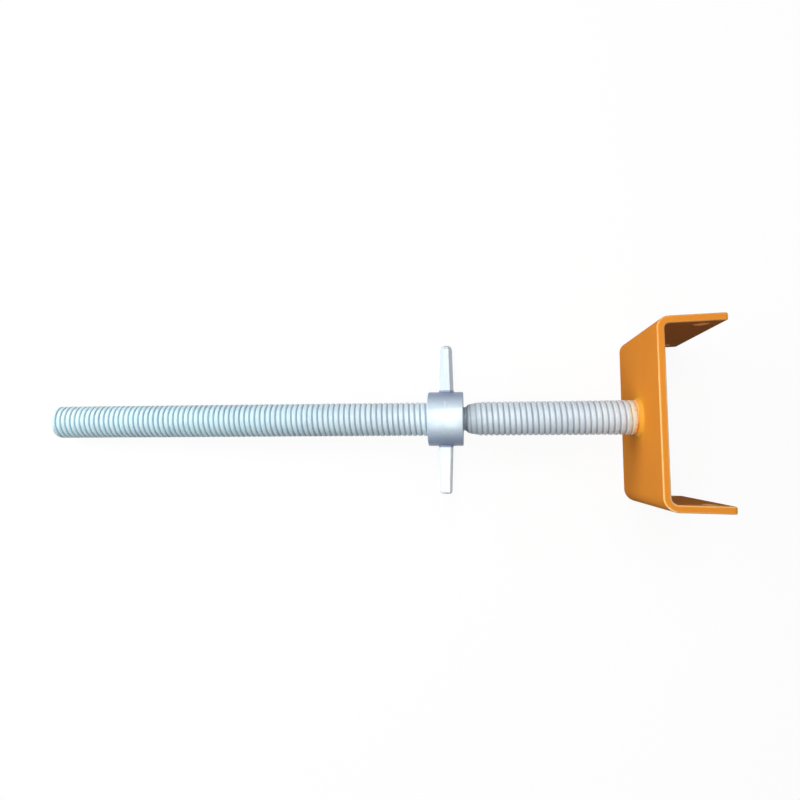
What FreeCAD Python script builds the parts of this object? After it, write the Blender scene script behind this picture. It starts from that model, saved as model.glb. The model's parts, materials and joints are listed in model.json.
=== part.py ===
import FreeCAD, Part
import math
import os

Vector = FreeCAD.Vector

# Spindle: solid bar at the thread's crest diameter, free end to the head's web
spindle_d = 37.0
spindle_length = 664.2
end_chamfer = 1.2

# Turned neck in the spindle: the thread runs out on a shallow taper at each side of it
neck_from_head = 167.0
neck_taper = 14.0
neck_taper_d = 31.5
neck_cone = 2.5
neck_d = 26.0
neck_land = 6.0

# U-head: one plate folded into a channel, open away from the spindle
head_height = 190.5
head_width = 150.0
head_depth = 66.0
plate = 7.5
bend_inner_r = 7.0
flange_corner_r = 2.5
plate_edge_r = 1.0

# Nail and bolt holes, a facing pair at each end of the flanges
hole_d = 11.0
hole_from_web = 46.5
hole_from_edge = 16.0

# Fillet weld round the spindle's foot
weld_leg = 5.0
weld_crown = 0.5

# Collar of the wing nut, measured from the head's web to its near face
nut_from_head = 186.3
collar_d = 59.6
collar_length = 38.4
collar_chamfer = 1.2
bore_chamfer = 1.5
thread_clearance = 0.3

# Tapered handles of the wing nut, reach measured from the spindle's axis
handle_reach = 82.0
handle_base_width = 15.5
handle_tip_width = 12.5
handle_base_thickness = 14.0
handle_tip_thickness = 11.0
handle_chamfer = 3.0
handle_root_gap = 0.2

# Worked-out sizes
spindle_r = spindle_d / 2
collar_r = collar_d / 2
neck_r = neck_d / 2
neck_taper_r = neck_taper_d / 2
axis_x = Vector(1, 0, 0)
origin = Vector(0, 0, 0)
same_place = 0.001


def revolve_about_spindle(points):
    # A closed outline of (distance along the spindle, radius) turned once round the axis
    outline = Part.makePolygon([Vector(x, r, 0) for x, r in points + points[:1]])
    return Part.Face(outline).revolve(origin, axis_x, 360)


def edges_through(shape, wanted):
    # Edges whose middle passes a test on its place
    return [edge for edge in shape.Edges if wanted(edge.CenterOfMass)]


def near(value, target):
    return abs(value - target) < same_place


def make_spindle():
    free_end = -spindle_length
    taper_near = -neck_from_head
    cone_near = taper_near - neck_taper
    land_near = cone_near - neck_cone
    land_far = land_near - neck_land
    cone_far = land_far - neck_cone
    taper_far = cone_far - neck_taper
    return revolve_about_spindle([
        (free_end, 0),
        (free_end, spindle_r - end_chamfer),
        (free_end + end_chamfer, spindle_r),
        (taper_far, spindle_r),
        (cone_far, neck_taper_r),
        (land_far, neck_r),
        (land_near, neck_r),
        (cone_near, neck_taper_r),
        (taper_near, spindle_r),
        (0, spindle_r),
        (0, 0),
    ])


def make_head():
    # The channel's sharp section first, then its bends, corners and holes
    outer_y = head_height / 2
    inner_y = outer_y - plate
    half_width = head_width / 2
    corners = [
        (head_depth, outer_y), (0, outer_y), (0, -outer_y), (head_depth, -outer_y),
        (head_depth, -inner_y), (plate, -inner_y), (plate, inner_y), (head_depth, inner_y),
    ]
    section = Part.makePolygon([Vector(x, y, -half_width) for x, y in corners + corners[:1]])
    head = Part.Face(section).extrude(Vector(0, 0, head_width))
    outer_folds = edges_through(head, lambda c: near(c.x, 0) and near(abs(c.y), outer_y))
    head = head.makeFillet(bend_inner_r + plate, outer_folds)
    inner_folds = edges_through(head, lambda c: near(c.x, plate) and near(abs(c.y), inner_y))
    head = head.makeFillet(bend_inner_r, inner_folds)
    middle_y = outer_y - plate / 2
    tip_corners = edges_through(head, lambda c: near(c.x, head_depth) and near(abs(c.y), middle_y)
                                and near(abs(c.z), half_width))
    head = head.makeFillet(flange_corner_r, tip_corners)
    corner_start = head_depth - flange_corner_r
    rim = edges_through(head, lambda c: (near(abs(c.z), half_width) or c.x > corner_start)
                        and not near(abs(c.y), middle_y))
    head = head.makeFillet(plate_edge_r, rim)
    for side in (1, -1):
        hole_start = Vector(hole_from_web, -outer_y - plate, side * (half_width - hole_from_edge))
        drill = Part.makeCylinder(hole_d / 2, head_height + 2 * plate, hole_start, Vector(0, 1, 0))
        head = head.cut(drill)
    return head


def make_head_weld():
    # Fillet between the spindle's side and the web's face, a little crowned at its middle
    crown = weld_leg / 2 + weld_crown
    return revolve_about_spindle([
        (0, spindle_r),
        (-weld_leg, spindle_r),
        (-crown, spindle_r + crown),
        (0, spindle_r + weld_leg),
    ])


def make_nut_collar():
    near_face = -nut_from_head
    far_face = near_face - collar_length
    bore_r = spindle_r + thread_clearance
    return revolve_about_spindle([
        (far_face, bore_r + bore_chamfer),
        (far_face, collar_r - collar_chamfer),
        (far_face + collar_chamfer, collar_r),
        (near_face - collar_chamfer, collar_r),
        (near_face, collar_r - collar_chamfer),
        (near_face, bore_r + bore_chamfer),
        (near_face - bore_chamfer, bore_r),
        (far_face + bore_chamfer, bore_r),
    ])


def make_handle(side):
    # Four-sided taper from the collar's wall to the tip, its long and tip edges chamfered
    middle_x = -nut_from_head - collar_length / 2
    root_y = collar_r - handle_chamfer
    half_root_width = handle_base_width / 2
    half_root_thickness = handle_base_thickness / 2
    half_tip_width = handle_tip_width / 2
    half_tip_thickness = handle_tip_thickness / 2
    handle = Part.makeWedge(-half_root_width, root_y, -half_root_thickness,
                            -half_tip_thickness, -half_tip_width,
                            half_root_width, handle_reach, half_root_thickness,
                            half_tip_thickness, half_tip_width)
    free_edges = edges_through(handle, lambda c: not near(c.y, root_y))
    handle = handle.makeChamfer(handle_chamfer, free_edges)
    wall = Part.makeCylinder(collar_r + handle_root_gap, collar_length,
                             Vector(-collar_length / 2, 0, 0), axis_x)
    handle = handle.cut(wall)
    if side < 0:
        handle.rotate(origin, axis_x, 180)
    handle.translate(Vector(middle_x, 0, 0))
    return handle


def lay_down(pieces):
    # The web's rounded edge and the spindle's free end both touch the ground, handles level
    drop = head_width / 2 - plate_edge_r - spindle_r
    run = spindle_length - end_chamfer + plate_edge_r
    edge_rise = math.asin(plate_edge_r / math.hypot(drop, run))
    tilt = math.degrees(math.atan2(drop, run) + edge_rise)
    leaning = FreeCAD.Placement(origin, FreeCAD.Rotation(Vector(0, 1, 0), -tilt))
    tilted = Part.makeCompound([piece.transformed(leaning.Matrix) for piece in pieces.values()])
    box = tilted.optimalBoundingBox(False, False)
    ground = FreeCAD.Placement(Vector(-box.Center.x, -box.Center.y, -box.ZMin), FreeCAD.Rotation())
    return ground.multiply(leaning)


pieces = {
    "spindle": make_spindle(),
    "u_head": make_head(),
    "head_weld": make_head_weld(),
    "nut_collar": make_nut_collar(),
    "nut_handle_a": make_handle(1),
    "nut_handle_b": make_handle(-1),
}
resting = lay_down(pieces)
os.makedirs("parts", exist_ok=True)
for node, piece in pieces.items():
    piece.transformed(resting.Matrix).exportStep("parts/" + node + ".step")
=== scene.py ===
import json
import math

import bmesh
import bpy
from mathutils import Matrix, Vector


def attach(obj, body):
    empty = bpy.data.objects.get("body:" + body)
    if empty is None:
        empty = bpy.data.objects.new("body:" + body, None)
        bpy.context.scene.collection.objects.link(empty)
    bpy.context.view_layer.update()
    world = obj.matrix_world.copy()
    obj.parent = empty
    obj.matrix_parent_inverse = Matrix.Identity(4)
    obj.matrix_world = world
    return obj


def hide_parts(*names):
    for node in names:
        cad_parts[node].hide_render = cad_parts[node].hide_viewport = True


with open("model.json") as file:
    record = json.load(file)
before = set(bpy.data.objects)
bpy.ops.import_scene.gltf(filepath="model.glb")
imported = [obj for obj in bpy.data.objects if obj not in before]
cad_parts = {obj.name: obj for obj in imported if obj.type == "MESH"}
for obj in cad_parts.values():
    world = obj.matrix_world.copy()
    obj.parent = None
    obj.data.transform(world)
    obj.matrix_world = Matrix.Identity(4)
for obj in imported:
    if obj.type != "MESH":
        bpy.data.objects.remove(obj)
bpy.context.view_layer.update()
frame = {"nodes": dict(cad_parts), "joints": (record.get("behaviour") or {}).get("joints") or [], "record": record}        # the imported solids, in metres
mounts = {mount["name"]: mount for mount in frame["record"]["mounts"]}
joints = {joint["name"]: joint for joint in frame["joints"]}
print("frame loaded:", ", ".join(sorted(frame["nodes"])))

head = {
    "plate": 0.0075,
    "height": 0.1905,
    "width": 0.150,
    "depth": 0.066,
    "upperFold": {"innerRadius": 0.0045, "lean": 1.7},
    "lowerFold": {"innerRadius": 0.0070, "lean": 1.2},
    "cornerRadius": 0.0025,
    "edgeRadius": 0.0016,
    "edgeBand": 0.0021,
    "holeDiameter": 0.011,
    "holeFromWeb": 0.0465,
    "holeFromEdge": 0.016,
    "bendSteps": 14,
    "cornerSteps": 8,
    "holeSteps": 40,
    "edgeSteps": 4,
    "edgeAngle": 50,
}

# Pieces are drawn along the spindle, with the web's rod side at zero, and laid down as the frame lies
seat = mounts["beam_seat"]
along = Vector(seat["axis"]).normalized()
across = Vector((0, 1, 0))
webFace = Vector(seat["pos_m"]) - along * head["plate"]
layDown = Matrix((along, across, along.cross(across))).transposed().to_4x4()
layDown.translation = webFace
nutMiddleX = (Vector(joints["nut_turn"]["pos_m"]) - webFace).dot(along)

spindle = {
    "length": (Vector(mounts["spindle_stem"]["pos_m"]) - webFace).length,
    "crestRadius": 0.0185,
    "pitch": 0.006,
    "threadDepth": 0.0014,
    "crestShare": 0.50,
    "rootShare": 0.96,
    "rowsPerTurn": 16,
    "sides": 48,
    "endChamfer": 0.0012,
    "neckMiddle": -0.1865,
    "neckRadius": 0.013,
    "neckLand": 0.006,
    "neckCone": 0.0025,
    "taperRadius": 0.01575,
    "taper": 0.014,
    "mergeDistance": 0.00001,
}


# Node helpers
def addNode(tree, kind, settings=None, inputs=None):
    node = tree.nodes.new(kind)
    for name, value in (settings or {}).items():
        setattr(node, name, value)
    for name, value in (inputs or {}).items():
        feed(tree, node.inputs[name], value)
    return node


def feed(tree, socket, value):
    if isinstance(value, bpy.types.NodeSocket):
        tree.links.new(value, socket)
    else:
        socket.default_value = value


def calc(tree, operation, *terms):
    node = addNode(tree, "ShaderNodeMath", {"operation": operation}, dict(enumerate(terms)))
    return node.outputs[0]


def ramp(tree, value, low, high, lowOut=0.0, highOut=1.0):
    node = addNode(tree, "ShaderNodeMapRange", {"interpolation_type": "SMOOTHSTEP"},
                   {0: value, 1: low, 2: high, 3: lowOut, 4: highOut})
    return node.outputs[0]


def split(tree, vector):
    return addNode(tree, "ShaderNodeSeparateXYZ", None, {0: vector}).outputs


def join(tree, x, y, z):
    return addNode(tree, "ShaderNodeCombineXYZ", None, {0: x, 1: y, 2: z}).outputs[0]


def distance(tree, vector):
    node = addNode(tree, "ShaderNodeVectorMath", {"operation": "LENGTH"}, {0: vector})
    return node.outputs["Value"]


def mixColor(tree, share, first, second):
    node = addNode(tree, "ShaderNodeMix", {"data_type": "RGBA"}, {0: share, 6: first, 7: second})
    return node.outputs[2]


def newGroup(name, kind, inputs, outputs):
    tree = bpy.data.node_groups.new(name, kind)
    for label, socketType in inputs.items():
        tree.interface.new_socket(name=label, in_out="INPUT", socket_type=socketType)
    for label, socketType in outputs.items():
        tree.interface.new_socket(name=label, in_out="OUTPUT", socket_type=socketType)
    return tree, tree.nodes.new("NodeGroupInput").outputs, tree.nodes.new("NodeGroupOutput")


# Mesh helpers
def bakeTree(name, tree, values):
    # Runs a Geometry Nodes tree once and keeps its result as a plain mesh
    carrier = bpy.data.objects.new(name + "Carrier", bpy.data.meshes.new(name + "Carrier"))
    bpy.context.scene.collection.objects.link(carrier)
    modifier = carrier.modifiers.new(name, "NODES")
    modifier.node_group = tree
    for item in tree.interface.items_tree:
        if item.in_out == "INPUT":
            modifier[item.identifier] = values[item.name]
    mesh = evaluatedMesh(carrier)
    carrier.modifiers.remove(modifier)
    bpy.data.objects.remove(carrier)
    return mesh


def evaluatedMesh(piece):
    depsgraph = bpy.context.evaluated_depsgraph_get()
    return bpy.data.meshes.new_from_object(piece.evaluated_get(depsgraph),
                                           preserve_all_data_layers=True, depsgraph=depsgraph)


def bakeEdges(name, work, material, sizes, wall=0.0):
    # Gives a bmesh its wall, where it has one, and rounded edges, and keeps the plain result
    bmesh.ops.recalc_face_normals(work, faces=work.faces)
    for face in work.faces:
        face.smooth = True
    mesh = bpy.data.meshes.new(name)
    work.to_mesh(mesh)
    work.free()
    mesh.materials.append(material)
    mesh.materials.append(material)
    piece = bpy.data.objects.new(name, mesh)
    bpy.context.scene.collection.objects.link(piece)
    if wall:
        thick = piece.modifiers.new("wall", "SOLIDIFY")
        thick.thickness = wall
        thick.offset = 0
        thick.use_even_offset = True
    edge = piece.modifiers.new("edge", "BEVEL")
    edge.width = sizes["edgeRadius"]
    edge.segments = sizes["edgeSteps"]
    edge.limit_method = "ANGLE"
    edge.angle_limit = math.radians(sizes["edgeAngle"])
    edge.harden_normals = True
    edge.use_clamp_overlap = not wall
    edge.material = 1
    result = evaluatedMesh(piece)
    bpy.data.objects.remove(piece)
    markRim(result)
    return result


def markRim(mesh):
    # The rounded edges come out on the second slot: a soft mask keeps them, and one slot is left
    touching = [0] * len(mesh.vertices)
    rounded = [0] * len(mesh.vertices)
    for face in mesh.polygons:
        for index in face.vertices:
            touching[index] += 1
            rounded[index] += face.material_index
        face.material_index = 0
    mesh.materials.pop()
    rim = mesh.attributes.new("rim", "FLOAT", "POINT")
    rim.data.foreach_set("value", [float(part == whole) for part, whole in zip(rounded, touching)])


def faceOut(mesh):
    work = bmesh.new()
    work.from_mesh(mesh)
    bmesh.ops.recalc_face_normals(work, faces=work.faces)
    work.to_mesh(mesh)
    work.free()


def addPiece(name, mesh, body, node):
    mesh.name = name
    mesh.transform(layDown)
    piece = bpy.data.objects.new(name, mesh)
    bpy.context.scene.collection.objects.link(piece)
    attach(piece, body)
    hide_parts(node)
    print("made", name, len(mesh.polygons), "faces")


# Shared surface effects
def jackCoordinates(tree):
    # Object coordinates turned back to run along the spindle
    place = addNode(tree, "ShaderNodeTexCoord").outputs["Object"]
    turned = addNode(tree, "ShaderNodeMapping", {"vector_type": "TEXTURE"},
                     {"Vector": place, "Location": webFace, "Rotation": layDown.to_euler()})
    return turned.outputs[0]


def makeMottleGroup():
    tree, given, result = newGroup("mottle", "ShaderNodeTree", {
        "Vector": "NodeSocketVector",
        "Size": "NodeSocketFloat",
        "Low": "NodeSocketFloat",
        "High": "NodeSocketFloat",
    }, {"Mask": "NodeSocketFloat"})
    scale = calc(tree, "DIVIDE", 1.0, given["Size"])
    cloud = addNode(tree, "ShaderNodeTexNoise", None,
                    {"Vector": given["Vector"], "Scale": scale, "Detail": 5.0, "Roughness": 0.6})
    mask = ramp(tree, cloud.outputs["Fac"], given["Low"], given["High"])
    feed(tree, result.inputs["Mask"], mask)
    return tree


def makeScratchGroup():
    # Fine lines that run one way, broken up by a coarser cloud
    tree, given, result = newGroup("fineScratches", "ShaderNodeTree", {
        "Vector": "NodeSocketVector",
        "Length": "NodeSocketFloat",
        "Width": "NodeSocketFloat",
        "Cover": "NodeSocketFloat",
    }, {"Mask": "NodeSocketFloat"})
    lengthScale = calc(tree, "DIVIDE", 1.0, given["Length"])
    widthScale = calc(tree, "DIVIDE", 1.0, given["Width"])
    drawn = addNode(tree, "ShaderNodeVectorMath", {"operation": "MULTIPLY"},
                    {0: given["Vector"], 1: join(tree, lengthScale, widthScale, widthScale)})
    lines = addNode(tree, "ShaderNodeTexNoise", None,
                    {"Vector": drawn.outputs[0], "Scale": 1.0, "Detail": 2.0, "Roughness": 0.5})
    softEdge = 0.06
    patchStart, patchEnd = 0.45, 0.65
    threshold = calc(tree, "SUBTRACT", 1.0, given["Cover"])
    thin = ramp(tree, lines.outputs["Fac"], calc(tree, "SUBTRACT", threshold, softEdge), threshold)
    cloud = addNode(tree, "ShaderNodeTexNoise", None,
                    {"Vector": given["Vector"], "Scale": lengthScale, "Detail": 1.0})
    patches = ramp(tree, cloud.outputs["Fac"], patchStart, patchEnd)
    feed(tree, result.inputs["Mask"], calc(tree, "MULTIPLY", thin, patches))
    return tree


mottleGroup = makeMottleGroup()
scratchGroup = makeScratchGroup()


def mottle(tree, place, size, low, high):
    node = addNode(tree, "ShaderNodeGroup", {"node_tree": mottleGroup},
                   {"Vector": place, "Size": size, "Low": low, "High": high})
    return node.outputs["Mask"]


def scratches(tree, place, length, width, cover):
    node = addNode(tree, "ShaderNodeGroup", {"node_tree": scratchGroup},
                   {"Vector": place, "Length": length, "Width": width, "Cover": cover})
    return node.outputs["Mask"]


def newMaterial(name):
    material = bpy.data.materials.new(name)
    material.use_nodes = True
    tree = material.node_tree
    return material, tree, tree.nodes["Principled BSDF"]


def addBump(tree, shader, height, depth):
    bump = addNode(tree, "ShaderNodeBump", None, {"Height": height, "Distance": depth, "Strength": 1.0})
    feed(tree, shader.inputs["Normal"], bump.outputs["Normal"])


# Zinc plating on the spindle and the nut, paint on the head
zinc = {
    "cool": (0.52, 0.78, 0.86, 1),
    "grey": (0.60, 0.70, 0.78, 1),
    "cloud": (0.37, 0.46, 0.58, 1),
    "bright": (0.80, 0.90, 0.94, 1),
    "grimeAndShade": (0.10, 0.14, 0.19, 1),
    "coolEnd": -0.50,
    "greyEnd": -0.15,
    "cloudSize": 0.030,
    "cloudRange": (0.40, 0.72),
    "cloudShare": 0.35,
    "grainSize": 0.0014,
    "grainRange": (0.30, 0.72),
    "grainShare": 0.10,
    "grainDepth": 0.00002,
    "metallic": 0.07,
    "specular": 0.30,
    "roughLow": 0.30,
    "roughHigh": 0.38,
}
thread = {
    "flankShadeCool": (0.27, 0.47, 0.57, 1),
    "flankShadeGrey": (0.46, 0.52, 0.59, 1),
    "flankShadeRange": (0.15, 0.85),
    "flankShadeShare": 0.60,
    "crestEnd": 0.35,
    "crestShare": 0.50,
    "highlightSize": 0.009,
    "highlightRange": (0.15, 0.60),
    "dirtShadeStart": 0.80,
    "dirtShadeSize": 0.02,
    "dirtShadeRange": (0.15, 0.55),
    "dirtShadeFree": 0.50,
    "dirtShadeHead": 0.30,
    "dirtShadeRough": 0.25,
    "neckShade": 0.50,
    "neckReach": (0.5, 1.3),        # in lands
}
overspray = {
    "dustReach": 0.013,
    "dustShare": 0.55,
    "paintReach": 0.005,
    "fade": 0.005,
    "raggedSize": 0.004,
    "raggedRange": (0.3, 0.7),
}
brushed = {"length": 0.012, "width": 0.0006, "cover": 0.42, "share": 0.35}
speck = {"size": 0.0030, "range": (0.72, 0.78), "share": 0.7}
rootWeld = {
    "radius": 0.0110,
    "ragged": 0.006,
    "raggedSize": 0.004,
    "raggedRange": (0.3, 0.7),
    "edge": 0.0012,
    "wall": (0.024, 0.026),
    "handleEdge": 0.0005,
    "grey": (0.34, 0.39, 0.50, 1),
    "share": 0.45,
    "rough": 0.2,
}
nick = {"width": 0.0006, "low": 0.009, "high": 0.0185, "end": 0.001, "depth": -4.0}
handleHighlight = {"start": 0.0305, "full": 0.0320, "upperShare": 0.72, "lowerShare": 0.98, "middle": 0.001}
collarSideShade = {"start": 0.010, "full": 0.028, "share": 0.72, "color": (0.12, 0.17, 0.33, 1)}
collarGloss = {"metallic": 0.24, "edge": 0.001}
paint = {
    "orange": (0.88, 0.308, 0.036, 1),
    "deep": (0.80, 0.260, 0.030, 1),
    "pale": (0.96, 0.52, 0.16, 1),
    "innerHighlight": (1.0, 0.82, 0.52, 1),
    "dust": (0.84, 0.72, 0.40, 1),
    "ringDark": (0.22, 0.085, 0.022, 1),
    "flow": (0.82, 0.37, 0.028, 1),
    "cloudSize": 0.060,
    "cloudRange": (0.35, 0.70),
    "cloudShare": 0.45,
    "peelSize": 0.0022,
    "peelRange": (0.25, 0.75),
    "peelDepth": 0.00002,
    "roughLow": 0.44,
    "roughHigh": 0.52,
    "specular": 0.0,
    "coatLow": 0.03,
    "coatHigh": 0.70,
    "coatRough": 0.25,
    "wearHighlightSize": 0.020,
    "wearHighlightRange": (0.20, 0.65),
    "wearHighlightLow": 0.60,
}
paintScratch = {"length": 0.03, "width": 0.0009, "cover": 0.36, "share": 0.15, "rough": 0.12}
paintFlow = {
    "ring": (0.020, 0.034),
    "rodSide": (0.001, 0.004),
    "share": 0.80,
    "ringDarkSize": 0.012,
    "ringDarkRange": (0.55, 0.85),
    "ringDarkShare": 0.25,
}
rimHighlightZone = {
    "full": 0.025,
    "top": 0.065,
    "topShare": 0.45,
    "inner": 0.0040,
    "outer": 0.0125,
    "edge": 0.0015,
    "share": 0.75,
}


def zincTone(tree, place):
    return ramp(tree, split(tree, place)[0], zinc["coolEnd"], zinc["greyEnd"])


def zincBase(tree, place):
    # Cloudy plating, cooler towards the free end: colour, roughness and a fine grain height
    cloud = mottle(tree, place, zinc["cloudSize"], *zinc["cloudRange"])
    grain = mottle(tree, place, zinc["grainSize"], *zinc["grainRange"])
    color = mixColor(tree, zincTone(tree, place), zinc["cool"], zinc["grey"])
    color = mixColor(tree, calc(tree, "MULTIPLY", cloud, zinc["cloudShare"]), color, zinc["cloud"])
    color = mixColor(tree, calc(tree, "MULTIPLY", grain, zinc["grainShare"]), color, zinc["bright"])
    rough = ramp(tree, cloud, 0.0, 1.0, zinc["roughLow"], zinc["roughHigh"])
    return color, rough, grain


def makeThreadZinc():
    material, tree, shader = newMaterial("threadZinc")
    place = jackCoordinates(tree)
    color, rough, grain = zincBase(tree, place)
    groove = addNode(tree, "ShaderNodeAttribute", {"attribute_name": "groove"}).outputs["Fac"]
    # Painted shade on the flanks, a painted highlight on the crests, and darker mottled patches in the
    # root, partly dirt and partly painted shade
    # Painted shade: the flanks are painted darker by their depth in the groove
    flankShade = mixColor(tree, zincTone(tree, place), thread["flankShadeCool"], thread["flankShadeGrey"])
    sunk = calc(tree, "MULTIPLY", ramp(tree, groove, *thread["flankShadeRange"]), thread["flankShadeShare"])
    color = mixColor(tree, sunk, color, flankShade)
    # Painted highlight: the crests are painted brighter, mottled
    crest = ramp(tree, groove, 0.0, thread["crestEnd"], 1.0, 0.0)
    paintedHighlight = calc(tree, "MULTIPLY", crest, mottle(tree, place, thread["highlightSize"], *thread["highlightRange"]))
    color = mixColor(tree, calc(tree, "MULTIPLY", paintedHighlight, thread["crestShare"]), color, zinc["bright"])
    # Partly dirt and partly painted shade: the root is painted darker in mottled patches, more towards the
    # free end
    rootMottle = mottle(tree, place, thread["dirtShadeSize"], *thread["dirtShadeRange"])
    dirtAndShade = calc(tree, "MULTIPLY", ramp(tree, groove, thread["dirtShadeStart"], 1.0), rootMottle)
    x = split(tree, place)[0]
    dirtShadeShare = ramp(tree, x, zinc["coolEnd"], zinc["greyEnd"], thread["dirtShadeFree"], thread["dirtShadeHead"])
    color = mixColor(tree, calc(tree, "MULTIPLY", dirtAndShade, dirtShadeShare), color, zinc["grimeAndShade"])
    # Painted shade in the turned neck
    fromNeck = calc(tree, "ABSOLUTE", calc(tree, "SUBTRACT", x, spindle["neckMiddle"]))
    neckStart, neckEnd = [spindle["neckLand"] * lands for lands in thread["neckReach"]]
    inNeck = ramp(tree, fromNeck, neckStart, neckEnd, thread["neckShade"], 0.0)
    color = mixColor(tree, inNeck, color, zinc["grimeAndShade"])
    # Paint dust on the last turns beside the head, and paint run onto the very last
    ragged = mottle(tree, place, overspray["raggedSize"], *overspray["raggedRange"])
    uneven = calc(tree, "MULTIPLY_ADD", ragged, overspray["fade"], x)
    dusted = ramp(tree, calc(tree, "ADD", uneven, overspray["dustReach"]), 0.0, overspray["fade"])
    painted = ramp(tree, calc(tree, "ADD", uneven, overspray["paintReach"]), 0.0, overspray["fade"] / 2)
    color = mixColor(tree, calc(tree, "MULTIPLY", dusted, overspray["dustShare"]), color, paint["dust"])
    color = mixColor(tree, painted, color, paint["pale"])
    feed(tree, shader.inputs["Base Color"], color)
    feed(tree, shader.inputs["Roughness"], calc(tree, "MULTIPLY_ADD", dirtAndShade, thread["dirtShadeRough"], rough))
    feed(tree, shader.inputs["Metallic"], ramp(tree, dusted, 0.0, 1.0, zinc["metallic"], 0.0))
    shader.inputs["Specular IOR Level"].default_value = zinc["specular"]
    addBump(tree, shader, grain, zinc["grainDepth"])
    return material


def makeNutZinc():
    material, tree, shader = newMaterial("nutZinc")
    place = jackCoordinates(tree)
    color, rough, grain = zincBase(tree, place)
    lines = scratches(tree, place, brushed["length"], brushed["width"], brushed["cover"])
    color = mixColor(tree, calc(tree, "MULTIPLY", lines, brushed["share"]), color, zinc["bright"])
    specks = mottle(tree, place, speck["size"], *speck["range"])
    color = mixColor(tree, calc(tree, "MULTIPLY", specks, speck["share"]), color, zinc["grimeAndShade"])
    x, y, z = split(tree, place)[:3]
    beside = calc(tree, "SUBTRACT", x, nutMiddleX)
    out = calc(tree, "ABSOLUTE", y)
    # Painted shade: the collar is painted darker and bluer towards its sides, where the handles stand
    sideShade = ramp(tree, out, collarSideShade["start"], collarSideShade["full"], 0.0, collarSideShade["share"])
    color = mixColor(tree, sideShade, color, collarSideShade["color"])
    # Painted highlight: the handles are painted bright, the lower one more than the upper
    middle = handleHighlight["middle"]
    highlightShare = ramp(tree, y, -middle, middle, handleHighlight["lowerShare"], handleHighlight["upperShare"])
    paintedHighlight = ramp(tree, out, handleHighlight["start"], handleHighlight["full"], 0.0, highlightShare)
    color = mixColor(tree, paintedHighlight, color, zinc["bright"])
    # Ragged grey fringe of weld where the handles meet the collar
    fromHandle = distance(tree, join(tree, beside, 0.0, z))
    ragged = mottle(tree, place, rootWeld["raggedSize"], *rootWeld["raggedRange"])
    inner = rootWeld["radius"] - rootWeld["ragged"] / 2
    limit = calc(tree, "MULTIPLY_ADD", ragged, rootWeld["ragged"], inner)
    inside = ramp(tree, calc(tree, "SUBTRACT", limit, fromHandle), 0.0, rootWeld["edge"])
    atWall = ramp(tree, out, *rootWeld["wall"])
    handleStart, handleEdge = handleHighlight["start"], rootWeld["handleEdge"]
    offHandle = ramp(tree, out, handleStart - handleEdge, handleStart + handleEdge, 1.0, 0.0)
    fringe = calc(tree, "MULTIPLY", calc(tree, "MULTIPLY", inside, atWall), offHandle)
    color = mixColor(tree, calc(tree, "MULTIPLY", fringe, rootWeld["share"]), color, rootWeld["grey"])
    # One bright nick across the collar
    nickLine = ramp(tree, calc(tree, "ABSOLUTE", beside), 0.0, nick["width"], 1.0, 0.0)
    nickSpan = calc(tree, "MULTIPLY", ramp(tree, y, nick["low"], nick["low"] + nick["end"]),
                    ramp(tree, y, nick["high"] - nick["end"], nick["high"], 1.0, 0.0))
    nicked = calc(tree, "MULTIPLY", nickLine, nickSpan)
    color = mixColor(tree, nicked, color, zinc["bright"])
    feed(tree, shader.inputs["Base Color"], color)
    # The turned collar shines more than the handles
    turned = calc(tree, "SUBTRACT", 1.0, ramp(tree, out, handleStart - collarGloss["edge"], handleStart))
    metallic = ramp(tree, turned, 0.0, 1.0, zinc["metallic"], collarGloss["metallic"])
    feed(tree, shader.inputs["Roughness"], calc(tree, "MULTIPLY_ADD", fringe, rootWeld["rough"], rough))
    feed(tree, shader.inputs["Metallic"], metallic)
    shader.inputs["Specular IOR Level"].default_value = zinc["specular"]
    addBump(tree, shader, calc(tree, "MULTIPLY_ADD", nicked, nick["depth"], grain), zinc["grainDepth"])
    return material


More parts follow.
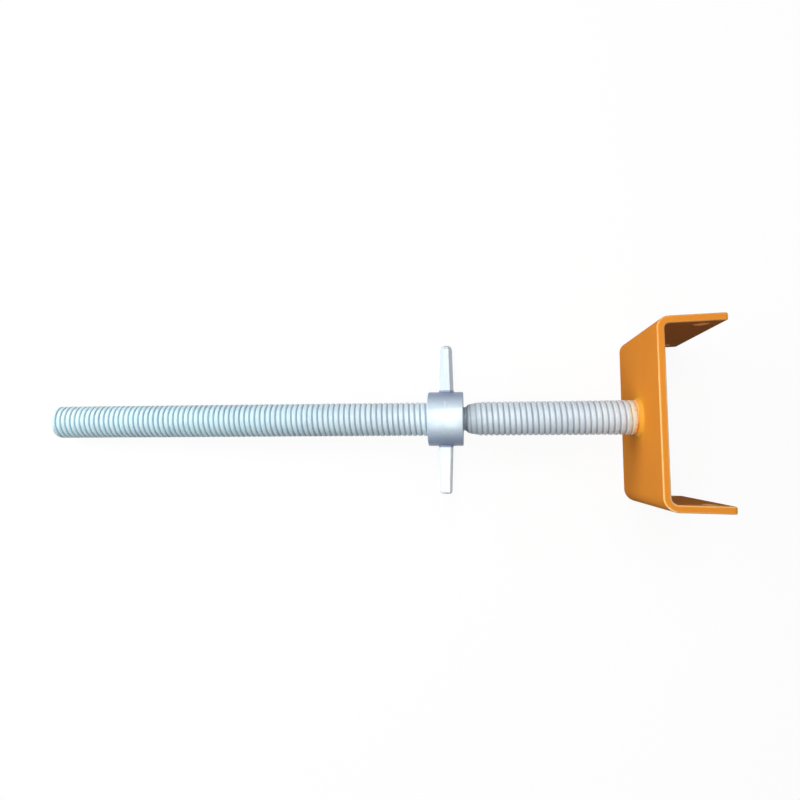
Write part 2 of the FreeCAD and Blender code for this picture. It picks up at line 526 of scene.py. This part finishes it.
def makeOrangePaint():
    material, tree, shader = newMaterial("orangePaint")
    place = jackCoordinates(tree)
    cloud = mottle(tree, place, paint["cloudSize"], *paint["cloudRange"])
    peel = mottle(tree, place, paint["peelSize"], *paint["peelRange"])
    deeper = calc(tree, "MULTIPLY", cloud, paint["cloudShare"])
    color = mixColor(tree, deeper, paint["orange"], paint["deep"])
    lines = scratches(tree, place, paintScratch["length"], paintScratch["width"], paintScratch["cover"])
    color = mixColor(tree, calc(tree, "MULTIPLY", lines, paintScratch["share"]), color, paint["pale"])
    # Paint drawn thin, pale and glossy over the rounded edges and the weld: the pale is partly worn thin
    # paint and partly a painted highlight, weaker on the upper flange
    rim = addNode(tree, "ShaderNodeAttribute", {"attribute_name": "rim"}).outputs["Fac"]
    patchy = mottle(tree, place, paint["wearHighlightSize"], *paint["wearHighlightRange"])
    wearAndHighlightPatches = ramp(tree, patchy, 0.0, 1.0, paint["wearHighlightLow"], 1.0)
    x, y = split(tree, place)[:2]
    highlightFade = ramp(tree, y, rimHighlightZone["full"], rimHighlightZone["top"], 1.0, rimHighlightZone["topShare"])
    wearAndHighlight = calc(tree, "MULTIPLY", calc(tree, "MULTIPLY", rim, wearAndHighlightPatches), highlightFade)
    color = mixColor(tree, wearAndHighlight, color, paint["pale"])
    # Painted highlight: a cream line along the web's inner edge, strongest on the lower side and fading out
    # towards the upper flange
    innerEdge = calc(tree, "MULTIPLY", ramp(tree, x, rimHighlightZone["inner"], rimHighlightZone["inner"] + rimHighlightZone["edge"]),
                     ramp(tree, x, rimHighlightZone["outer"] - rimHighlightZone["edge"], rimHighlightZone["outer"], 1.0, 0.0))
    lowerPart = ramp(tree, y, rimHighlightZone["full"], rimHighlightZone["top"], rimHighlightZone["share"], 0.0)
    innerHighlight = calc(tree, "MULTIPLY", calc(tree, "MULTIPLY", innerEdge, wearAndHighlight), lowerPart)
    color = mixColor(tree, innerHighlight, color, paint["innerHighlight"])
    # Thick bright paint that flowed round the weld, with darker mottled patches in the same ring
    ring = ramp(tree, distance(tree, place), *paintFlow["ring"], 1.0, 0.0)
    rodSide = ramp(tree, x, *paintFlow["rodSide"], 1.0, 0.0)
    ring = calc(tree, "MULTIPLY", ring, rodSide)
    color = mixColor(tree, calc(tree, "MULTIPLY", ring, paintFlow["share"]), color, paint["flow"])
    ringDarkPatches = mottle(tree, place, paintFlow["ringDarkSize"], *paintFlow["ringDarkRange"])
    ringDark = calc(tree, "MULTIPLY", calc(tree, "MULTIPLY", ring, ringDarkPatches), paintFlow["ringDarkShare"])
    color = mixColor(tree, ringDark, color, paint["ringDark"])
    feed(tree, shader.inputs["Base Color"], color)
    rough = ramp(tree, cloud, 0.0, 1.0, paint["roughLow"], paint["roughHigh"])
    feed(tree, shader.inputs["Roughness"], calc(tree, "MULTIPLY_ADD", lines, paintScratch["rough"], rough))
    feed(tree, shader.inputs["Coat Weight"], ramp(tree, rim, 0.0, 1.0, paint["coatLow"], paint["coatHigh"]))
    shader.inputs["Coat Roughness"].default_value = paint["coatRough"]
    shader.inputs["Specular IOR Level"].default_value = paint["specular"]
    addBump(tree, shader, peel, paint["peelDepth"])
    return material


threadZinc = makeThreadZinc()
nutZinc = makeNutZinc()
orangePaint = makeOrangePaint()
print("materials ready")


def newShapeTree(name, sizes, counts):
    inputs = {label: "NodeSocketFloat" for label in sizes}
    inputs.update({label: "NodeSocketInt" for label in counts})
    inputs["Material"] = "NodeSocketMaterial"
    return newGroup(name, "GeometryNodeTree", inputs, {"Geometry": "NodeSocketGeometry"})


# Threaded spindle
def makeThreadTree():
    sizes = ["Length", "Crest Radius", "Pitch", "Thread Depth", "Crest Share", "Root Share", "End Chamfer",
             "Neck Middle", "Neck Radius", "Neck Land", "Neck Cone", "Taper Radius", "Taper",
             "Merge Distance"]
    tree, size, result = newShapeTree("spindleThread", sizes, ["Rows per Turn", "Sides"])
    # A flat grid is rolled into a tube whose rows follow the helix, a few turns longer than the bar
    extraTurns, turnsBefore = 3.0, -2.0
    turns = calc(tree, "ADD", calc(tree, "DIVIDE", size["Length"], size["Pitch"]), extraTurns)
    rows = calc(tree, "ADD", calc(tree, "MULTIPLY", turns, size["Rows per Turn"]), 1.0)
    columns = calc(tree, "ADD", size["Sides"], 1.0)
    grid = addNode(tree, "GeometryNodeMeshGrid", None,
                   {"Size X": 1.0, "Size Y": 1.0, "Vertices X": rows, "Vertices Y": columns})
    share = split(tree, grid.outputs["UV Map"])
    freeEnd = calc(tree, "MULTIPLY", size["Length"], -1.0)
    start = calc(tree, "MULTIPLY_ADD", size["Pitch"], turnsBefore, freeEnd)
    helix = calc(tree, "MULTIPLY_ADD", share[0], calc(tree, "MULTIPLY", turns, size["Pitch"]), start)
    reach = calc(tree, "MULTIPLY_ADD", share[1], size["Pitch"], helix)
    place = calc(tree, "MINIMUM", calc(tree, "MAXIMUM", reach, freeEnd), 0.0)
    # Rows past the ends close the bar's two faces
    past = calc(tree, "ABSOLUTE", calc(tree, "SUBTRACT", reach, place))
    pastShare = calc(tree, "MINIMUM", calc(tree, "DIVIDE", past, size["Pitch"]), 1.0)
    closing = calc(tree, "SUBTRACT", 1.0, pastShare)
    # Thread form: rounded crest, narrow root
    phase = calc(tree, "FRACT", calc(tree, "DIVIDE", helix, size["Pitch"]))
    fromCrest = calc(tree, "ABSOLUTE", calc(tree, "MULTIPLY_ADD", phase, 2.0, -1.0))
    groove = ramp(tree, fromCrest, size["Crest Share"], size["Root Share"])
    sunk = calc(tree, "MULTIPLY", groove, size["Thread Depth"])
    threadRadius = calc(tree, "SUBTRACT", size["Crest Radius"], sunk)
    # Chamfered free end
    chamferStart = calc(tree, "SUBTRACT", size["Crest Radius"], size["End Chamfer"])
    chamferRadius = calc(tree, "ADD", chamferStart, calc(tree, "SUBTRACT", place, freeEnd))
    # Turned neck: a land, a short cone and the taper on which the thread runs out
    fromNeck = calc(tree, "ABSOLUTE", calc(tree, "SUBTRACT", place, size["Neck Middle"]))
    pastLand = calc(tree, "MAXIMUM", calc(tree, "MULTIPLY_ADD", size["Neck Land"], -0.5, fromNeck), 0.0)
    coneRise = calc(tree, "SUBTRACT", size["Taper Radius"], size["Neck Radius"])
    coneSlope = calc(tree, "DIVIDE", coneRise, size["Neck Cone"])
    coneRadius = calc(tree, "MULTIPLY_ADD", pastLand, coneSlope, size["Neck Radius"])
    taperRise = calc(tree, "SUBTRACT", size["Crest Radius"], size["Taper Radius"])
    taperSlope = calc(tree, "DIVIDE", taperRise, size["Taper"])
    pastCone = calc(tree, "SUBTRACT", pastLand, size["Neck Cone"])
    taperRadius = calc(tree, "MULTIPLY_ADD", pastCone, taperSlope, size["Taper Radius"])
    neckRadius = calc(tree, "MINIMUM", coneRadius, taperRadius)
    radius = calc(tree, "MINIMUM", calc(tree, "MINIMUM", threadRadius, chamferRadius), neckRadius)
    radius = calc(tree, "MULTIPLY", radius, closing)
    angle = calc(tree, "MULTIPLY", share[1], 2 * math.pi)
    spot = join(tree, place, calc(tree, "MULTIPLY", radius, calc(tree, "COSINE", angle)),
                calc(tree, "MULTIPLY", radius, calc(tree, "SINE", angle)))
    # The bar's two flat faces carry no groove
    onSide = calc(tree, "LESS_THAN", past, size["Merge Distance"])
    stored = addNode(tree, "GeometryNodeStoreNamedAttribute", {"data_type": "FLOAT", "domain": "POINT"},
                     {"Geometry": grid.outputs["Mesh"], "Name": "groove",
                      "Value": calc(tree, "MULTIPLY", groove, onSide)})
    rolled = addNode(tree, "GeometryNodeSetPosition", None,
                     {"Geometry": stored.outputs[0], "Position": spot})
    closed = addNode(tree, "GeometryNodeMergeByDistance", None,
                     {"Geometry": rolled.outputs[0], "Distance": size["Merge Distance"]})
    finishTree(tree, closed.outputs[0], size["Material"], result)
    return tree


def finishTree(tree, geometry, material, result):
    # Smooth faces with sharp corners kept, then real geometry in its own finish
    smooth = addNode(tree, "GeometryNodeSetShadeSmooth", {"domain": "FACE"},
                     {"Geometry": geometry, "Shade Smooth": True})
    bends = addNode(tree, "GeometryNodeInputMeshEdgeAngle").outputs["Unsigned Angle"]
    sharpAngle = math.radians(45)
    sharp = addNode(tree, "FunctionNodeCompare", {"operation": "GREATER_THAN"}, {0: bends, 1: sharpAngle})
    edged = addNode(tree, "GeometryNodeSetShadeSmooth", {"domain": "EDGE"},
                    {"Geometry": smooth.outputs[0], "Selection": sharp.outputs[0], "Shade Smooth": False})
    real = addNode(tree, "GeometryNodeRealizeInstances", None, {"Geometry": edged.outputs[0]})
    dressed = addNode(tree, "GeometryNodeSetMaterial", None,
                      {"Geometry": real.outputs[0], "Material": material})
    feed(tree, result.inputs["Geometry"], dressed.outputs[0])


spindleMesh = bakeTree("spindleThread", makeThreadTree(), {
    "Length": spindle["length"], "Crest Radius": spindle["crestRadius"], "Pitch": spindle["pitch"],
    "Thread Depth": spindle["threadDepth"], "Crest Share": spindle["crestShare"],
    "Root Share": spindle["rootShare"], "End Chamfer": spindle["endChamfer"],
    "Neck Middle": spindle["neckMiddle"], "Neck Radius": spindle["neckRadius"],
    "Neck Land": spindle["neckLand"], "Neck Cone": spindle["neckCone"],
    "Taper Radius": spindle["taperRadius"], "Taper": spindle["taper"],
    "Merge Distance": spindle["mergeDistance"], "Rows per Turn": spindle["rowsPerTurn"],
    "Sides": spindle["sides"], "Material": threadZinc,
})
faceOut(spindleMesh)
addPiece("threaded_spindle", spindleMesh, "jack", "spindle")


# U-shaped head: a flat blank is cut, drilled and folded, then given its thickness
def foldSizes(fold):
    # Lengths along the plate's middle surface, from the head's middle out to one flange's tip
    half = head["plate"] / 2
    radius = fold["innerRadius"] + half
    angle = math.radians(90 - fold["lean"])
    flangeStart = half + radius * (1 - math.cos(angle))
    flange = (head["depth"] - half * math.cos(angle) - flangeStart) / math.sin(angle)
    web = head["height"] / 2 - (radius + half) * math.sin(angle) - flange * math.cos(angle)
    arc = radius * angle
    hole = web + arc + (head["holeFromWeb"] - flangeStart) / math.sin(angle)
    end = web + arc + flange
    return {"radius": radius, "angle": angle, "web": web, "arc": arc, "hole": hole, "end": end}


def roundedBlank(folds, halfWidth, inset):
    corner = head["cornerRadius"]
    radius = corner - inset
    points = []
    for quarter, (signS, signW) in enumerate(((1, 1), (-1, 1), (-1, -1), (1, -1))):
        for step in range(head["cornerSteps"] + 1):
            angle = (quarter + step / head["cornerSteps"]) * math.pi / 2
            points.append((signS * (folds[signS]["end"] - corner) + radius * math.cos(angle),
                           signW * (halfWidth - corner) + radius * math.sin(angle)))
    return points


def holeRing(middleS, middleW, inset):
    turns = [2 * math.pi * step / head["holeSteps"] for step in range(head["holeSteps"])]
    radius = head["holeDiameter"] / 2 + inset
    return [(middleS + radius * math.cos(turn), middleW + radius * math.sin(turn)) for turn in turns]


def makeHead():
    folds = {1: foldSizes(head["upperFold"]), -1: foldSizes(head["lowerFold"])}
    halfWidth = head["width"] / 2
    holeW = halfWidth - head["holeFromEdge"]
    blank = bmesh.new()
    # Each edge gets an even band, which its rounding is cut into, and the rest is filled
    insets = (0, head["edgeBand"])
    loops = [[roundedBlank(folds, halfWidth, inset) for inset in insets]]
    for side, fold in folds.items():
        for signW in (1, -1):
            loops.append([holeRing(side * fold["hole"], signW * holeW, inset) for inset in insets])
    bandEdges = []
    for loop in loops:
        edge, band = [[blank.verts.new((s, w, 0)) for s, w in points] for points in loop]
        for step in range(len(edge)):
            blank.faces.new((edge[step - 1], edge[step], band[step], band[step - 1]))
            bandEdges.append(blank.edges.get((band[step - 1], band[step])))
    bmesh.ops.triangle_fill(blank, edges=bandEdges, use_beauty=True)
    for side, fold in folds.items():
        for step in range(head["bendSteps"] + 1):
            cut = side * (fold["web"] + fold["arc"] * step / head["bendSteps"])
            geometry = blank.verts[:] + blank.edges[:] + blank.faces[:]
            bmesh.ops.bisect_plane(blank, geom=geometry, plane_co=(cut, 0, 0), plane_no=(1, 0, 0))
    for vert in blank.verts:
        s, w, _ = vert.co
        side = 1 if s > 0 else -1
        fold = folds[side]
        bent = min(max(abs(s) - fold["web"], 0), fold["arc"]) / fold["radius"]
        onWeb = min(abs(s), fold["web"])
        onFlange = max(abs(s) - fold["web"] - fold["arc"], 0)
        x = head["plate"] / 2 + fold["radius"] * (1 - math.cos(bent)) + onFlange * math.sin(fold["angle"])
        y = onWeb + fold["radius"] * math.sin(bent) + onFlange * math.cos(fold["angle"])
        vert.co = (x, side * y, w)
    return bakeEdges("foldedHead", blank, orangePaint, head, head["plate"])


addPiece("folded_head", makeHead(), "jack", "u_head")

# Painted weld bead round the spindle's foot: a ring whose hidden part is cut back to the joint
weld = {
    "leg": 0.0034,
    "sink": 0.0030,
    "cover": 0.0005,
    "rodCover": 0.0025,
    "ripples": 44,
    "rippleDepth": 0.00010,
    "lag": 0.8,
    "unevenDepth": 0.0005,
    "unevenSize": 0.010,
    "glossAndHighlight": 0.35,
    "ringSteps": 400,
    "sectionSteps": 48,
}


def makeWeldTree():
    sizes = ["Leg", "Sink", "Cover", "Rod Cover", "Rod Radius", "Ripples", "Ripple Depth", "Lag",
             "Uneven Depth", "Uneven Size", "Gloss And Highlight"]
    tree, size, result = newShapeTree("weldBead", sizes, ["Ring Steps", "Section Steps"])
    # The section's middle is sunk into the corner, so both legs come out equal
    toToe = calc(tree, "ADD", size["Leg"], size["Sink"])
    beadRadius = calc(tree, "SQRT", calc(tree, "ADD", calc(tree, "MULTIPLY", toToe, toToe),
                                         calc(tree, "MULTIPLY", size["Sink"], size["Sink"])))
    ringRadius = calc(tree, "SUBTRACT", size["Rod Radius"], size["Sink"])
    ring = addNode(tree, "GeometryNodeCurvePrimitiveCircle", {"mode": "RADIUS"},
                   {"Resolution": size["Ring Steps"], "Radius": ringRadius})
    section = addNode(tree, "GeometryNodeCurvePrimitiveCircle", {"mode": "RADIUS"},
                      {"Resolution": size["Section Steps"], "Radius": beadRadius})
    bead = addNode(tree, "GeometryNodeCurveToMesh", None,
                   {"Curve": ring.outputs["Curve"], "Profile Curve": section.outputs["Curve"]})
    spot = addNode(tree, "GeometryNodeInputPosition").outputs[0]
    x, y, z = split(tree, spot)[:3]
    turn = calc(tree, "ARCTAN2", y, x)
    # Each ripple bows back towards the bead's toes, as the pool froze
    toe = calc(tree, "DIVIDE", z, beadRadius)
    lag = calc(tree, "MULTIPLY", size["Lag"], 2 * math.pi)
    bow = calc(tree, "MULTIPLY", calc(tree, "MULTIPLY", toe, toe), lag)
    wave = calc(tree, "SINE", calc(tree, "MULTIPLY_ADD", turn, size["Ripples"], bow))
    unevenScale = calc(tree, "DIVIDE", 1.0, size["Uneven Size"])
    noise = addNode(tree, "ShaderNodeTexNoise", None, {"Vector": spot, "Scale": unevenScale, "Detail": 2.0})
    swell = calc(tree, "MULTIPLY", calc(tree, "SUBTRACT", noise.outputs["Fac"], 0.5),
                 calc(tree, "MULTIPLY", size["Uneven Depth"], 2.0))
    rise = calc(tree, "MULTIPLY_ADD", wave, size["Ripple Depth"], swell)
    normal = addNode(tree, "GeometryNodeInputNormal").outputs[0]
    push = addNode(tree, "ShaderNodeVectorMath", {"operation": "SCALE"}, {0: normal, "Scale": rise})
    moved = addNode(tree, "GeometryNodeSetPosition", None,
                    {"Geometry": bead.outputs["Mesh"], "Offset": push.outputs[0]})
    # Cut back just under the rod's side and just under the web's face
    fromAxis = distance(tree, join(tree, x, y, 0.0))
    inner = calc(tree, "SUBTRACT", size["Rod Radius"], size["Rod Cover"])
    keep = calc(tree, "DIVIDE", calc(tree, "MAXIMUM", fromAxis, inner), fromAxis)
    underFace = calc(tree, "MULTIPLY", calc(tree, "ADD", size["Sink"], size["Cover"]), -1.0)
    backed = calc(tree, "MAXIMUM", z, underFace)
    trimmed = join(tree, calc(tree, "MULTIPLY", x, keep), calc(tree, "MULTIPLY", y, keep), backed)
    fitted = addNode(tree, "GeometryNodeSetPosition", None,
                     {"Geometry": moved.outputs[0], "Position": trimmed})
    # The rim value also makes the weld's paint pale and glossy: partly thin paint, partly a painted
    # highlight
    glossy = addNode(tree, "GeometryNodeStoreNamedAttribute", {"data_type": "FLOAT", "domain": "POINT"},
                     {"Geometry": fitted.outputs[0], "Name": "rim", "Value": size["Gloss And Highlight"]})
    finishTree(tree, glossy.outputs[0], size["Material"], result)
    return tree


weldMesh = bakeTree("weldBead", makeWeldTree(), {
    "Leg": weld["leg"], "Sink": weld["sink"], "Cover": weld["cover"], "Rod Cover": weld["rodCover"],
    "Rod Radius": spindle["crestRadius"],
    "Ripples": weld["ripples"], "Ripple Depth": weld["rippleDepth"], "Lag": weld["lag"],
    "Uneven Depth": weld["unevenDepth"], "Uneven Size": weld["unevenSize"], "Gloss And Highlight": weld["glossAndHighlight"],
    "Ring Steps": weld["ringSteps"], "Section Steps": weld["sectionSteps"], "Material": orangePaint,
})
weldMesh.transform(Matrix.Translation((weld["sink"], 0, 0)) @ Matrix.Rotation(-math.pi / 2, 4, "Y"))
faceOut(weldMesh)
addPiece("weld_bead", weldMesh, "jack", "head_weld")

# Nut: a turned collar and two tapered handles
nut = {
    "radius": 0.0298,
    "length": 0.0384,
    "edgeRadius": 0.0012,
    "edgeSteps": 6,
    "boreRadius": 0.0188,
    "boreChamfer": 0.0015,
    "threadDepth": 0.0013,
    "rowsPerTurn": 12,
    "sides": 96,
    "sharpAngle": 40,
}


def collarOutline():
    # Offset from the nut's middle, radius, and whether the thread is cut there
    half = nut["length"] / 2
    edge = nut["edgeRadius"]
    mouth = nut["boreRadius"] + nut["boreChamfer"]
    outline = []
    for side in (-1, 1):
        arc = [math.pi / 2 * step / nut["edgeSteps"] for step in range(nut["edgeSteps"] + 1)]
        for turn in (arc if side < 0 else arc[::-1]):
            outline.append((side * (half - edge + edge * math.cos(turn)),
                            nut["radius"] - edge + edge * math.sin(turn), False))
    outline.append((half, mouth, False))
    boreHalf = half - nut["boreChamfer"]
    rows = round(2 * boreHalf / spindle["pitch"] * nut["rowsPerTurn"])
    for row in range(rows + 1):
        outline.append((boreHalf - 2 * boreHalf * row / rows, nut["boreRadius"], True))
    outline.append((-half, mouth, False))
    return outline


def makeCollar():
    collar = bmesh.new()
    rings = []
    for offset, radius, threaded in collarOutline():
        ring = []
        for step in range(nut["sides"]):
            turn = step / nut["sides"]
            phase = (offset / spindle["pitch"] - turn) % 1
            cut = nut["threadDepth"] * (0.5 - 0.5 * math.cos(2 * math.pi * phase)) ** 2 if threaded else 0
            angle = 2 * math.pi * turn
            ring.append(collar.verts.new((nutMiddleX + offset, (radius + cut) * math.cos(angle),
                                          (radius + cut) * math.sin(angle))))
        rings.append(ring)
    for first, second in zip(rings, rings[1:] + rings[:1]):
        for step in range(nut["sides"]):
            after = (step + 1) % nut["sides"]
            collar.faces.new((first[step], first[after], second[after], second[step]))
    bmesh.ops.recalc_face_normals(collar, faces=collar.faces)
    for face in collar.faces:
        face.smooth = True
    mesh = bpy.data.meshes.new("collar")
    collar.to_mesh(mesh)
    collar.free()
    mesh.materials.append(nutZinc)
    mesh.set_sharp_from_angle(angle=math.radians(nut["sharpAngle"]))
    return mesh


addPiece("turned_collar", makeCollar(), "nut", "nut_collar")

handle = {
    "reach": 0.082,
    "baseWidth": 0.0155,
    "tipWidth": 0.0125,
    "baseThickness": 0.014,
    "tipThickness": 0.011,
    "upperFacet": 0.0038,
    "lowerFacet": 0.0024,
    "upperShift": 0.0008,
    "rootGap": 0.0002,
    "flare": 0.0008,
    "flareReach": 0.0025,
    "flareSteps": 6,
    "shaftSteps": 10,
    "upperDome": 0.0055,
    "lowerDome": 0.0030,
    "domeSteps": 6,
    "domeFlat": 0.6,
    "edgeRadius": 0.0009,
    "edgeSteps": 3,
    "edgeAngle": 28,
}


def between(first, second, share):
    return first + (second - first) * share


def handleStations(dome):
    # Distance from the axis, growth of the section, and how far it hugs the collar's wall
    wall = nut["radius"] + handle["rootGap"]
    shaftStart = wall + handle["flareReach"]
    domeStart = handle["reach"] - dome
    stations = []
    for step in range(handle["flareSteps"] + 1):
        share = step / handle["flareSteps"]
        growth = handle["flare"] * (1 - math.sqrt(1 - (1 - share) ** 2))
        stations.append((between(wall, shaftStart, share), growth, 1 - share))
    for step in range(1, handle["shaftSteps"] + 1):
        stations.append((between(shaftStart, domeStart, step / handle["shaftSteps"]), 0, 0))
    for step in range(1, handle["domeSteps"] + 1):
        angle = math.pi / 2 * step / (handle["domeSteps"] + handle["domeFlat"])
        stations.append((domeStart + dome * math.sin(angle), -dome * (1 - math.cos(angle)), 0))
    return stations


def handleSection(halfWidth, halfThickness, facet):
    # Eight corners of a flat bar with its long edges taken off
    quarter = [(halfWidth - facet, halfThickness), (halfWidth, halfThickness - facet)]
    return ([(x, z) for x, z in quarter] + [(x, -z) for x, z in quarter[::-1]]
            + [(-x, -z) for x, z in quarter] + [(-x, z) for x, z in quarter[::-1]])


def makeHandle(side):
    wall = nut["radius"] + handle["rootGap"]
    middle = nutMiddleX + (handle["upperShift"] if side > 0 else 0)
    facet = handle["upperFacet"] if side > 0 else handle["lowerFacet"]
    dome = handle["upperDome"] if side > 0 else handle["lowerDome"]
    bar = bmesh.new()
    rings = []
    for out, growth, hugging in handleStations(dome):
        share = (out - wall) / (handle["reach"] - wall)
        halfWidth = between(handle["baseWidth"], handle["tipWidth"], share) / 2 + growth
        halfThickness = between(handle["baseThickness"], handle["tipThickness"], share) / 2 + growth
        ring = []
        for x, z in handleSection(halfWidth, halfThickness, facet + growth / 2):
            drop = (wall - math.sqrt(wall ** 2 - z ** 2)) * hugging
            ring.append(bar.verts.new((middle + x, side * (out - drop), side * z)))
        rings.append(ring)
    for first, second in zip(rings, rings[1:]):
        for step in range(len(first)):
            after = (step + 1) % len(first)
            bar.faces.new((first[step], first[after], second[after], second[step]))
    bar.faces.new(rings[0])
    bar.faces.new(rings[-1])
    return bakeEdges("handle", bar, nutZinc, handle)


addPiece("upper_handle", makeHandle(1), "nut_handles", "nut_handle_a")
addPiece("lower_handle", makeHandle(-1), "nut_handles", "nut_handle_b")

# Floor, light and camera
studio = {
    "floorSize": 12.0,
    "floorShade": 0.09,
    "floorGlow": 0.92,
    "skyTop": (1.0, 1.0, 1.0, 1),
    "skySide": (0.32, 0.46, 0.78, 1),
    "skyRange": (0.1, 0.95),
    "skyStrength": 0.03,
}
mainLamp = {"place": (-0.10, 0.36, 1.42), "aim": (0.0, 0.0, 0.07), "size": (2.4, 1.10), "power": 10.0}
stripLamp = {"place": (-0.10, 0.04, 1.45), "aim": (0.0, 0.04, 0.07), "size": (2.4, 0.22), "power": 10.5}
sideLamp = {"place": (-1.45, 0.40, 0.60), "aim": (0.25, 0.0, 0.10), "size": (2.4, 1.1), "power": 27.5}
camera = {
    "place": (0.0606, -0.0387, 0.7331),
    "turn": (5.07, 1.7619, -0.1162),
    "lens": 27.432,
    "sensor": 36.0,
}


def seesBackground(tree):
    rays = addNode(tree, "ShaderNodeLightPath").outputs
    seen = calc(tree, "MAXIMUM", rays["Is Camera Ray"], rays["Is Glossy Ray"])
    return calc(tree, "MAXIMUM", seen, rays["Is Transmission Ray"])


def makeFloor():
    half = studio["floorSize"] / 2
    corners = [(-half, -half, 0), (half, -half, 0), (half, half, 0), (-half, half, 0)]
    mesh = bpy.data.meshes.new("floor")
    mesh.from_pydata(corners, [], [(0, 1, 2, 3)])
    material = bpy.data.materials.new("paleFloor")
    material.use_nodes = True
    tree = material.node_tree
    shade = studio["floorShade"]
    matt = addNode(tree, "ShaderNodeBsdfDiffuse", None, {"Color": (shade, shade, shade, 1)})
    glow = addNode(tree, "ShaderNodeEmission", None,
                   {"Strength": calc(tree, "MULTIPLY", seesBackground(tree), studio["floorGlow"])})
    both = addNode(tree, "ShaderNodeAddShader", None, {0: matt.outputs[0], 1: glow.outputs[0]})
    feed(tree, tree.nodes["Material Output"].inputs["Surface"], both.outputs[0])
    mesh.materials.append(material)
    floor = bpy.data.objects.new("floor", mesh)
    bpy.context.scene.collection.objects.link(floor)


def makeSky():
    world = bpy.data.worlds.new("softSky")
    bpy.context.scene.world = world
    world.use_nodes = True
    tree = world.node_tree
    direction = addNode(tree, "ShaderNodeTexCoord").outputs["Generated"]
    height = ramp(tree, split(tree, direction)[2], *studio["skyRange"])
    color = mixColor(tree, height, studio["skySide"], studio["skyTop"])
    sky = addNode(tree, "ShaderNodeBackground", None, {"Color": color, "Strength": studio["skyStrength"]})
    white = addNode(tree, "ShaderNodeBackground", None, {"Color": (1, 1, 1, 1), "Strength": 1.0})
    shown = addNode(tree, "ShaderNodeMixShader", None,
                    {0: seesBackground(tree), 1: sky.outputs[0], 2: white.outputs[0]})
    feed(tree, tree.nodes["World Output"].inputs["Surface"], shown.outputs[0])


def addLamp(name, settings):
    lamp = bpy.data.lights.new(name, "AREA")
    lamp.shape = "RECTANGLE"
    lamp.size, lamp.size_y = settings["size"]
    lamp.energy = settings["power"]
    panel = bpy.data.objects.new(name, lamp)
    panel.location = settings["place"]
    toAim = Vector(settings["aim"]) - panel.location
    panel.rotation_euler = toAim.to_track_quat("-Z", "Y").to_euler()
    bpy.context.scene.collection.objects.link(panel)


def makeCamera():
    lens = bpy.data.cameras.new("camera")
    lens.lens = camera["lens"]
    lens.sensor_width = camera["sensor"]
    eye = bpy.data.objects.new("camera", lens)
    eye.location = camera["place"]
    eye.rotation_euler = [math.radians(turn) for turn in camera["turn"]]
    bpy.context.scene.collection.objects.link(eye)
    bpy.context.scene.camera = eye


makeFloor()
makeSky()
addLamp("mainLamp", mainLamp)
addLamp("stripLamp", stripLamp)
addLamp("sideLamp", sideLamp)
makeCamera()
bpy.context.scene.view_settings.view_transform = "Standard"
print("floor, light and camera set")
